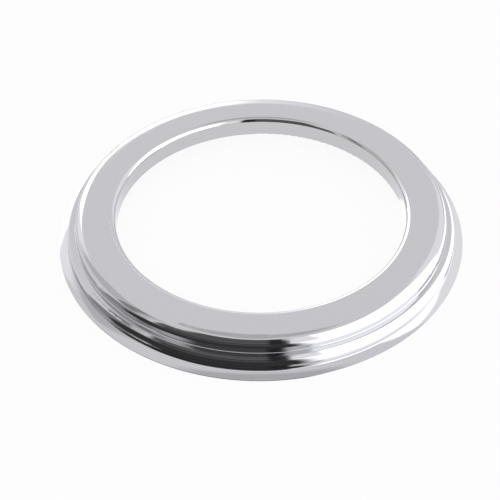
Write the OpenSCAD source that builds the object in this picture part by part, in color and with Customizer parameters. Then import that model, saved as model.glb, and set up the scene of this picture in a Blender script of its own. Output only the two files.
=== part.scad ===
// Spout flange: a one-piece chromed ring that slides over a round spout and
// hides the hole behind it. The section is drawn once, as half a slice through
// the ring, and revolved about the bore axis.
// Origin: bore axis at the wall face. +Z points away from the wall.

/* [Overall] */
// Outer diameter of the foot that meets the wall
flange_d = 60; // [56:0.5:80]
// Diameter of the bore that the spout passes through
bore_d = 42.8; // [30:0.2:44]

/* [Foot] */
// Height of the foot where it meets the lower step
foot_h = 0.8; // [0.6:0.05:2]
// Width of the foot that shows outside the lower step
foot_w = 1.3; // [1:0.05:3]
// Thickness of the foot at its outer rim
foot_rim_h = 0.15; // [0.15:0.05:0.4]
// Radius of the hollow sweep from the lower step down to the rim
foot_sweep_r = 4.5; // [4:0.5:12]

/* [Lower step] */
// Height of the ledge above the foot
lower_step_h = 2.1; // [1.5:0.05:4]
// Radius that rounds the side of the lower step
lower_round_r = 2; // [1.2:0.05:2.6]
// Height of that rounding that the flat ledge cuts away
ledge_cut = 0.7; // [0.3:0.05:1]
// Distance from the side of the upper step to the side of the lower step
lower_step_w = 1.3; // [1:0.05:3]

/* [Upper step] */
// Height of the top face above the ledge
upper_step_h = 2.3; // [1.9:0.05:5]
// Radius that rounds the side of the upper step into the top
upper_round_r = 1.45; // [0.5:0.05:1.7]
// Radius of the gentle crown at the outer part of the top face
crown_r = 8; // [4:0.5:20]
// Width of the crowned part, from the flat out to the side
crown_w = 2.1; // [1.8:0.05:2.6]

/* [Bore lip] */
// Depth of the bore wall, from the top face down to the recess
lip_h = 3.15; // [2.2:0.05:4]
// Radius that rounds the bore into the top face
bore_edge_r = 0.9; // [0.3:0.05:1.5]
// Radius that softens the lower edge of the bore
bore_back_r = 0.25; // [0.1:0.05:0.5]

/* [Recess in the back] */
// Radial wall left between the recess and the side of the upper step
recess_wall = 1.4; // [1:0.05:3]
// Radius in the corner between the recess wall and its ceiling
recess_corner_r = 0.8; // [0.2:0.05:1.2]

/* [Small edges] */
// Radius in the two grooves at the foot of the steps
groove_r = 0.15; // [0.05:0.05:0.3]
// Radius that softens the two edges that meet the wall
back_edge_r = 0.1; // [0.05:0.05:0.12]

/* [Hidden] */
$fn = 256;
chrome_colour = "#c9cbcd";
eps = 0.01;

foot_r = flange_d / 2;
lower_r = foot_r - foot_w;
upper_r = lower_r - lower_step_w;
bore_r = bore_d / 2;
recess_r = upper_r - recess_wall;

ledge_z = foot_h + lower_step_h;
top_z = ledge_z + upper_step_h;
recess_z = top_z - lip_h;

// The rounding of the upper step touches the crown from inside and the side
upper_round_x = upper_r - upper_round_r;
crown_x = upper_r - crown_w;
centre_gap = crown_r - upper_round_r;
crown_lean = asin((upper_round_x - crown_x) / centre_gap);
upper_round_z = top_z - crown_r + centre_gap * cos(crown_lean);
crown_end_x = crown_x + crown_r * sin(crown_lean);

// The hollow sweep passes through the foot of the lower step and the rim
chord_x = foot_r - lower_r;
chord_z = foot_h - foot_rim_h;
half_chord = norm([chord_x, chord_z]) / 2;
chord_lean = atan2(chord_z, chord_x);
sweep_rise = sqrt(pow(foot_sweep_r, 2) - pow(half_chord, 2));
sweep_x = (lower_r + foot_r) / 2 + sweep_rise * sin(chord_lean);
sweep_z = (foot_h + foot_rim_h) / 2 + sweep_rise * cos(chord_lean);

// Centre of the fillet between the side of the lower step and the sweep
fillet_x = lower_r + groove_r;
fillet_z = sweep_z - sqrt(pow(foot_sweep_r - groove_r, 2) - pow(sweep_x - fillet_x, 2));

// Block from the axis out to r_out with its upper outer corner rounded
module rounded_block(r_out, z_top, round) {
    square([r_out - round, z_top]);
    square([r_out, z_top - round]);
    translate([r_out - round, z_top - round]) intersection() {
        circle(r = round);
        square(round);
    }
}

// Concave fillet in the corner between a side at r and a floor at z
module groove_fillet(r, z, round) {
    difference() {
        translate([r - eps, z - eps]) square(round + eps);
        translate([r + round, z + round]) circle(r = round);
    }
}

// What a convex rounding takes off a corner. The corner lies at [r, z] and
// the metal lies on the side that dr and dz, each 1 or -1, point to
module edge_cutter(r, z, round, dr, dz) {
    translate([r, z]) mirror([dr < 0 ? 1 : 0, 0]) mirror([0, dz < 0 ? 1 : 0])
        difference() {
            translate([-eps, -eps]) square(round + eps);
            translate([round, round]) circle(r = round);
        }
}

// Lower step: its rounding would rise above the ledge, which cuts it flat
module lower_step() {
    intersection() {
        rounded_block(lower_r, ledge_z + ledge_cut, lower_round_r);
        square([lower_r + 1, ledge_z]);
    }
}

// Upper step: flat top, gentle crown, rounding and upright side
module upper_step() {
    square([crown_x, top_z]);
    intersection() {
        translate([crown_x, top_z - crown_r]) circle(r = crown_r);
        square([crown_end_x, top_z]);
    }
    square([upper_r, upper_round_z]);
    intersection() {
        translate([upper_round_x, upper_round_z]) circle(r = upper_round_r);
        square([upper_r + 1, top_z]);
    }
}

// Foot: a fillet from the lower step turns into a hollow sweep that runs down
// to a thin rim. The line from the sweep's centre through the fillet's centre
// parts the two arcs
module foot() {
    lean = atan2(sweep_x - fillet_x, sweep_z - fillet_z);
    difference() {
        square([foot_r, fillet_z]);
        translate([fillet_x, fillet_z]) circle(r = groove_r);
        intersection() {
            translate([sweep_x, sweep_z]) circle(r = foot_sweep_r);
            translate([sweep_x, sweep_z]) rotate(-lean)
                translate([0, -2 * foot_sweep_r]) square(2 * foot_sweep_r);
        }
    }
}

// Outside of the ring: foot, lower step and upper step, one inside the other
module outer_section() {
    foot();
    lower_step();
    upper_step();
    groove_fillet(upper_r, ledge_z, groove_r);
}

// Hollow behind the top face, from the axis out to the recess wall
module recess_section() {
    difference() {
        translate([0, -1]) square([recess_r, recess_z + 1]);
        edge_cutter(recess_r, recess_z, recess_corner_r, -1, -1);
    }
}

module ring_section() {
    difference() {
        outer_section();
        translate([-1, -1]) square([bore_r + 1, top_z + 2]);
        recess_section();
        edge_cutter(bore_r, top_z, bore_edge_r, 1, -1);
        edge_cutter(bore_r, recess_z, bore_back_r, 1, 1);
        edge_cutter(foot_r, 0, back_edge_r, -1, 1);
        edge_cutter(recess_r, 0, back_edge_r, 1, 1);
    }
}

module flange() {
    color(chrome_colour) rotate_extrude() ring_section();
}

flange();
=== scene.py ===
import math

import bmesh
import bpy
from mathutils import Matrix, Vector

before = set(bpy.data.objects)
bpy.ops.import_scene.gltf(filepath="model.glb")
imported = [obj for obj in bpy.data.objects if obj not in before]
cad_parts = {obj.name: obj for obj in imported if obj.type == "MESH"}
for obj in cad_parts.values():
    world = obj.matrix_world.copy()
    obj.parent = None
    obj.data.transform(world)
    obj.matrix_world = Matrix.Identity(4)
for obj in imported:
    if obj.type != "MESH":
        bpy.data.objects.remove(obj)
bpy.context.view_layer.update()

bl_info = {
    "name": "Spout Flange",
    "version": (1, 0, 0),
    "blender": (4, 5, 0),
    "location": "View3D > Sidebar > Spout Flange",
    "description": "Chrome finish and studio for a stepped spout flange",
    "category": "Object",
}

MM = 0.001


def linear(code):
    """Linear colour of an sRGB hex value such as "c4c5c5"."""
    parts = [int(code[i:i + 2], 16) / 255 for i in (0, 2, 4)]
    return tuple(c / 12.92 if c <= 0.04045 else ((c + 0.055) / 1.055) ** 2.4 for c in parts)


def add(tree, kind, settings=None, links=None):
    """Adds a node, sets its attributes or inputs, and links its inputs."""
    node = tree.nodes.new(kind)
    for key, value in (settings or {}).items():
        if isinstance(key, str) and hasattr(node, key):
            setattr(node, key, value)
        else:
            node.inputs[key].default_value = value
    for key, socket in (links or {}).items():
        tree.links.new(socket, node.inputs[key])
    return node


def new_material(name):
    """An empty node material and its output node."""
    material = bpy.data.materials.new(name)
    material.use_nodes = True
    material.node_tree.nodes.clear()
    return material, add(material.node_tree, "ShaderNodeOutputMaterial")


class FlangeFinish(bpy.types.PropertyGroup):
    plate_colour: bpy.props.FloatVectorProperty(
        name="Plate colour", description="Reflected colour of the chrome plate", subtype="COLOR",
        size=3, min=0, max=1, default=linear("c7c7ca"))
    plate_roughness: bpy.props.FloatProperty(
        name="Plate roughness", description="Blur of the reflections in the plate", default=0.05, min=0, max=1)
    mark_spacing: bpy.props.FloatProperty(
        name="Mark spacing", description="Distance between the polishing wheel's marks", subtype="DISTANCE",
        default=0.25 * MM, min=0.05 * MM, max=2 * MM)
    wave_length: bpy.props.FloatProperty(
        name="Wave length", description="Length of the soft waves left by hand polishing", subtype="DISTANCE",
        default=9 * MM, min=1 * MM, max=40 * MM)
    wave_height: bpy.props.FloatProperty(
        name="Wave height", description="Height of those waves", subtype="DISTANCE",
        default=0.004 * MM, min=0, max=0.05 * MM)


class FlangeStage(bpy.types.PropertyGroup):
    view_elevation: bpy.props.FloatProperty(
        name="View elevation", description="Camera's angle above the floor", subtype="ANGLE",
        default=math.radians(41.84))
    view_roll: bpy.props.FloatProperty(
        name="View roll", description="Camera's turn about its own axis", subtype="ANGLE",
        default=math.radians(0.95))
    view_distance: bpy.props.FloatProperty(
        name="View distance", description="From the camera to the bore's centre", subtype="DISTANCE",
        default=250 * MM)
    view_lens: bpy.props.FloatProperty(
        name="Lens", description="Focal length on a 36 mm sensor, in millimetres", default=120.4)
    aim_x: bpy.props.FloatProperty(
        name="Aim X", description="Where the lens axis meets the floor, across", subtype="DISTANCE",
        default=-1.62 * MM)
    aim_y: bpy.props.FloatProperty(
        name="Aim Y", description="Where the lens axis meets the floor, in depth", subtype="DISTANCE",
        default=-3.4 * MM)
    tent_radius: bpy.props.FloatProperty(
        name="Tent radius", description="Size of the light tent round the ring", subtype="DISTANCE",
        default=600 * MM)


def chrome_plate(finish):
    """Bright chrome over nickel on brass, wheel polished and buffed.

    The eye sees a cool mirror. Soft waves bend the reflections a little, and the wheel's marks run
    round the ring and give them a faint thread. Real marks are about 0.02 mm apart; they are drawn
    as coarse as they need to show.
    """
    material, out = new_material("bright chrome plate on polished brass")
    tree = material.node_tree
    place = add(tree, "ShaderNodeTexCoord").outputs["Object"]
    split = add(tree, "ShaderNodeSeparateXYZ", None, {0: place})
    x, y, z = (split.outputs[i] for i in range(3))
    flat = add(tree, "ShaderNodeCombineXYZ", None, {0: x, 1: y})
    radius = add(tree, "ShaderNodeVectorMath", {"operation": "LENGTH"}, {0: flat.outputs[0]})
    turn = add(tree, "ShaderNodeMath", {"operation": "ARCTAN2"}, {0: y, 1: x})
    # Marks: much finer across the ring than along it
    along = add(tree, "ShaderNodeMath", {"operation": "MULTIPLY", 1: 1.6}, {0: turn.outputs[0]})
    across = add(tree, "ShaderNodeMath", {"operation": "DIVIDE", 1: finish.mark_spacing},
                 {0: radius.outputs["Value"]})
    up = add(tree, "ShaderNodeMath", {"operation": "DIVIDE", 1: finish.mark_spacing}, {0: z})
    thread = add(tree, "ShaderNodeCombineXYZ", None,
                 {0: along.outputs[0], 1: across.outputs[0], 2: up.outputs[0]})
    marks = add(tree, "ShaderNodeTexNoise", {"Scale": 1.0, "Detail": 3.0, "Roughness": 0.6},
                {"Vector": thread.outputs[0]})
    waves = add(tree, "ShaderNodeTexNoise", {"Scale": 1 / finish.wave_length, "Detail": 1.0}, {"Vector": place})
    cloud = add(tree, "ShaderNodeTexNoise", {"Scale": 120.0, "Detail": 2.0}, {"Vector": place})
    # Handling leaves some places a little duller than others
    dull = add(tree, "ShaderNodeMapRange", {
        "From Min": 0.3, "From Max": 0.75,
        "To Min": finish.plate_roughness * 0.8, "To Max": finish.plate_roughness * 1.35},
        {"Value": cloud.outputs["Fac"]})
    worn = add(tree, "ShaderNodeMath", {"operation": "MULTIPLY_ADD", 1: 0.03}, {
        0: marks.outputs["Fac"], 2: dull.outputs[0]})
    shade = tuple(c * 0.965 for c in finish.plate_colour)
    tint = add(tree, "ShaderNodeMix", {"data_type": "RGBA"}, {0: marks.outputs["Fac"]})
    tint.inputs[6].default_value = (*shade, 1)
    tint.inputs[7].default_value = (*finish.plate_colour, 1)
    soft = add(tree, "ShaderNodeBump", {"Strength": 1.0, "Distance": finish.wave_height},
               {"Height": waves.outputs["Fac"]})
    fine = add(tree, "ShaderNodeBump", {"Strength": 0.05, "Distance": 0.002 * MM},
               {"Height": marks.outputs["Fac"], "Normal": soft.outputs[0]})
    shader = add(tree, "ShaderNodeBsdfPrincipled", {"Metallic": 1.0}, {
        "Base Color": tint.outputs[2], "Roughness": worn.outputs[0], "Normal": fine.outputs[0]})
    tree.links.new(shader.outputs[0], out.inputs["Surface"])
    return material


# What hangs in the light tent: azimuth from and to, elevation from and to, soft edge of each, in
# degrees, and the sRGB grey or, above white, the strength. Azimuth 0 is the camera's side, 90 the
# right. Each sheet lies over the ones before it
TENT = (
    (-180, 180, 72, 90, 8, 10, 0.68),
    (10, 150, 0, 50, 10, 5, 1.25),
    (30, 112, 0, 51, 5, 3, 2.5),
    (-184, -122, 0, 34, 10, 4, 1.3),
    (-178, -140, 0, 33, 5, 3, 2.5),
    (-116, -62, 0, 48, 6, 6, 0.75),
    (-82, -70, 0, 44, 4, 5, 0.36),
    (-58, 13, 0, 36, 5, 12, 0.16),
    (-46, 13, 20, 56, 14, 3, 0.13),
    (-52, 13, 0, 10, 4, 4, 0.06),
    (3, 13.5, 0, 53, 4, 3, 0.03),
)
# Painted light and shadow on the table, seen by the ring alone: a painted pool of light to the right, the far
# table, and the ring's painted shadow in front and to the left.
# Columns: azimuth from and to, distance from the axis in millimetres from and to, soft edge of each and the
# strength
PAINTED_TABLE_LIGHT_AND_SHADOW = (
    # Painted pool of light from the lamps on the right, lying on the table
    (16, 110, 20, 900, 6, 6, 2.0),
    (-240, -150, 60, 900, 20, 20, 0.55),
    (112, 150, 60, 900, 10, 20, 0.7),
    # Painted shadow of the ring on the table, in front and to the left, and the darker table beyond it
    (-64, -40, 28, 900, 6, 2, 0.35),
    (-52, 13, 28, 900, 5, 2, 0.05),
    (-46, 4, 44, 900, 6, 8, 0.10),
)


def sheets(tree, across, up, table, base):
    """Strength of the light at a place, from a table of soft-edged sheets over each other."""
    light = add(tree, "ShaderNodeValue")
    light.outputs[0].default_value = base
    light = light.outputs[0]
    for a0, a1, b0, b1, soft_a, soft_b, strength in table:
        cover = None
        for value, low, high, soft in ((across, a0, a1, soft_a), (up, b0, b1, soft_b)):
            if low < -180:
                # A sheet across the back, where the azimuth jumps from 180 to -180
                wrap = add(tree, "ShaderNodeMath", {"operation": "WRAP", 1: low + 300, 2: low - 60}, {0: value})
                value = wrap.outputs[0]
            for edge, sign in ((low, 1), (high, -1)):
                ramp = add(tree, "ShaderNodeMapRange", {
                    "interpolation_type": "SMOOTHSTEP", "From Min": edge - sign * soft / 2,
                    "From Max": edge + sign * soft / 2, "To Min": 0.0, "To Max": 1.0}, {"Value": value})
                cover = ramp.outputs[0] if cover is None else add(
                    tree, "ShaderNodeMath", {"operation": "MULTIPLY"},
                    {0: cover, 1: ramp.outputs[0]}).outputs[0]
        mix = add(tree, "ShaderNodeMix", {"data_type": "FLOAT"}, {0: cover, 2: light})
        mix.inputs[3].default_value = strength
        light = mix.outputs[0]
    return light


def azimuth(tree, x, y):
    """Degrees round the ring from the camera's side, positive to the right."""
    back = add(tree, "ShaderNodeMath", {"operation": "MULTIPLY", 1: -1.0}, {0: y})
    turn = add(tree, "ShaderNodeMath", {"operation": "ARCTAN2"}, {0: x, 1: back.outputs[0]})
    return add(tree, "ShaderNodeMath", {"operation": "DEGREES"}, {0: turn.outputs[0]}).outputs[0]


def only_reflected(obj):
    obj.visible_camera = False
    obj.visible_diffuse = False
    obj.visible_shadow = False


def lit_sheet(name, mesh, polar):
    """A sheet of the tent, or the painted light and shadow of the table, that glows as its table says."""
    obj = bpy.data.objects.new(name, mesh)
    bpy.context.scene.collection.objects.link(obj)
    material, out = new_material(name)
    tree = material.node_tree
    place = add(tree, "ShaderNodeTexCoord").outputs["Object"]
    split = add(tree, "ShaderNodeSeparateXYZ", None, {0: place})
    x, y, z = (split.outputs[i] for i in range(3))
    # The table's painted light and shadow, read by distance from the axis
    if polar:
        flat = add(tree, "ShaderNodeCombineXYZ", None, {0: x, 1: y})
        reach = add(tree, "ShaderNodeVectorMath", {"operation": "LENGTH"}, {0: flat.outputs[0]})
        up = add(tree, "ShaderNodeMath", {"operation": "DIVIDE", 1: MM}, {0: reach.outputs["Value"]}).outputs[0]
    else:
        unit = add(tree, "ShaderNodeVectorMath", {"operation": "NORMALIZE"}, {0: place})
        rise = add(tree, "ShaderNodeSeparateXYZ", None, {0: unit.outputs[0]})
        lift = add(tree, "ShaderNodeMath", {"operation": "ARCSINE"}, {0: rise.outputs[2]})
        up = add(tree, "ShaderNodeMath", {"operation": "DEGREES"}, {0: lift.outputs[0]}).outputs[0]
    light = sheets(tree, azimuth(tree, x, y), up, PAINTED_TABLE_LIGHT_AND_SHADOW if polar else TENT, 1.0)
    glow = add(tree, "ShaderNodeEmission", {"Color": (*linear("fdfdff"), 1)}, {"Strength": light})
    tree.links.new(glow.outputs[0], out.inputs["Surface"])
    mesh.materials.append(material)
    only_reflected(obj)
    return obj


class OBJECT_OT_flange_chrome(bpy.types.Operator):
    """Gives the flange its bright chrome plate"""
    bl_idname = "object.flange_chrome"
    bl_label = "Chrome plate"

    def execute(self, context):
        material = chrome_plate(context.scene.flange_finish)
        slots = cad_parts["flange"].data.materials
        slots.clear()
        slots.append(material)
        return {"FINISHED"}


class SCENE_OT_flange_stage(bpy.types.Operator):
    """Sets the floor, the lamps, the cards and the camera"""
    bl_idname = "scene.flange_stage"
    bl_label = "Studio"

    def execute(self, context):
        stage = context.scene.flange_stage
        self.floor()
        self.world(context.scene)
        self.tent(stage)
        self.camera(context.scene, stage)
        context.scene.view_settings.view_transform = "Standard"
        return {"FINISHED"}

    def floor(self):
        mesh = bpy.data.meshes.new("floor")
        s, z = 3.0, -0.02 * MM
        mesh.from_pydata([(-s, -s, z), (s, -s, z), (s, s, z), (-s, s, z)], [], [(0, 1, 2, 3)])
        obj = bpy.data.objects.new("floor", mesh)
        bpy.context.scene.collection.objects.link(obj)
        material, out = new_material("white paper sweep")
        tree = material.node_tree
        path = add(tree, "ShaderNodeLightPath")
        seen = add(tree, "ShaderNodeMath", {"operation": "MAXIMUM"},
                   {0: path.outputs["Is Camera Ray"], 1: path.outputs["Is Glossy Ray"]})
        seen = add(tree, "ShaderNodeMath", {"operation": "MAXIMUM"},
                   {0: seen.outputs[0], 1: path.outputs["Is Transmission Ray"]})
        paper = add(tree, "ShaderNodeBsdfDiffuse", {"Color": (*linear("e8e8e8"), 1)})
        glow = add(tree, "ShaderNodeEmission", {"Color": (1, 1, 1, 1), "Strength": 1.0})
        both = add(tree, "ShaderNodeMixShader", {0: 0.92}, {1: paper.outputs[0], 2: glow.outputs[0]})
        mix = add(tree, "ShaderNodeMixShader", None, {0: seen.outputs[0], 1: paper.outputs[0], 2: both.outputs[0]})
        tree.links.new(mix.outputs[0], out.inputs["Surface"])
        mesh.materials.append(material)

    def world(self, scene):
        world = bpy.data.worlds.new("studio")
        world.use_nodes = True
        tree = world.node_tree
        tree.nodes.clear()
        out = add(tree, "ShaderNodeOutputWorld")
        path = add(tree, "ShaderNodeLightPath")
        seen = add(tree, "ShaderNodeMath", {"operation": "MAXIMUM"},
                   {0: path.outputs["Is Camera Ray"], 1: path.outputs["Is Glossy Ray"]})
        seen = add(tree, "ShaderNodeMath", {"operation": "MAXIMUM"},
                   {0: seen.outputs[0], 1: path.outputs["Is Transmission Ray"]})
        dim = add(tree, "ShaderNodeBackground", {"Color": (1, 1, 1, 1), "Strength": 1.0})
        white = add(tree, "ShaderNodeBackground", {"Color": (1, 1, 1, 1), "Strength": 1.0})
        mix = add(tree, "ShaderNodeMixShader", None, {0: seen.outputs[0], 1: dim.outputs[0], 2: white.outputs[0]})
        tree.links.new(mix.outputs[0], out.inputs["Surface"])
        scene.world = world

    def tent(self, stage):
        work = bmesh.new()
        bmesh.ops.create_uvsphere(work, u_segments=96, v_segments=48, radius=stage.tent_radius)
        mesh = bpy.data.meshes.new("light tent")
        work.to_mesh(mesh)
        work.free()
        lit_sheet("light tent", mesh, False)
        # The table's painted light and shadow: a glowing sheet on the floor, seen only in reflections, with a lit
        # pool to the right and the ring's painted shadow in front and to the left
        mesh = bpy.data.meshes.new("painted table light and shadow")
        z, inner, outer, n = -0.01 * MM, 20 * MM, stage.tent_radius, 96
        points = [(r * math.cos(math.tau * k / n), r * math.sin(math.tau * k / n), z)
                  for r in (inner, outer) for k in range(n)]
        quads = [(k, (k + 1) % n, n + (k + 1) % n, n + k) for k in range(n)]
        mesh.from_pydata(points, [], quads)
        lit_sheet("painted table light and shadow", mesh, True)

    def camera(self, scene, stage):
        data = bpy.data.cameras.new("camera")
        obj = bpy.data.objects.new("camera", data)
        scene.collection.objects.link(obj)
        data.sensor_width = 36
        data.lens = stage.view_lens
        data.clip_start, data.clip_end = 0.01, 20
        e = stage.view_elevation
        place = Vector((0, -math.cos(e), math.sin(e))) * stage.view_distance
        look = Vector((stage.aim_x, stage.aim_y, 0)) - place
        turn = look.to_track_quat("-Z", "Y").to_matrix().to_4x4()
        obj.matrix_world = Matrix.Translation(place) @ turn @ Matrix.Rotation(-stage.view_roll, 4, "Z")
        scene.camera = obj


class VIEW3D_PT_flange(bpy.types.Panel):
    bl_label = "Spout Flange"
    bl_idname = "VIEW3D_PT_flange"
    bl_space_type = "VIEW_3D"
    bl_region_type = "UI"
    bl_category = "Spout Flange"

    def draw(self, context):
        for group in (context.scene.flange_finish, context.scene.flange_stage):
            for name in group.bl_rna.properties.keys():
                if name not in ("rna_type", "name"):
                    self.layout.prop(group, name)
        self.layout.operator("object.flange_chrome")
        self.layout.operator("scene.flange_stage")


CLASSES = (FlangeFinish, FlangeStage, OBJECT_OT_flange_chrome, SCENE_OT_flange_stage, VIEW3D_PT_flange)


def register():
    for cls in CLASSES:
        bpy.utils.register_class(cls)
    bpy.types.Scene.flange_finish = bpy.props.PointerProperty(type=FlangeFinish)
    bpy.types.Scene.flange_stage = bpy.props.PointerProperty(type=FlangeStage)


def unregister():
    del bpy.types.Scene.flange_stage
    del bpy.types.Scene.flange_finish
    for cls in reversed(CLASSES):
        bpy.utils.unregister_class(cls)


def main():
    register()
    bpy.ops.scene.flange_stage()
    bpy.ops.object.flange_chrome()


if __name__ == "__main__":
    main()
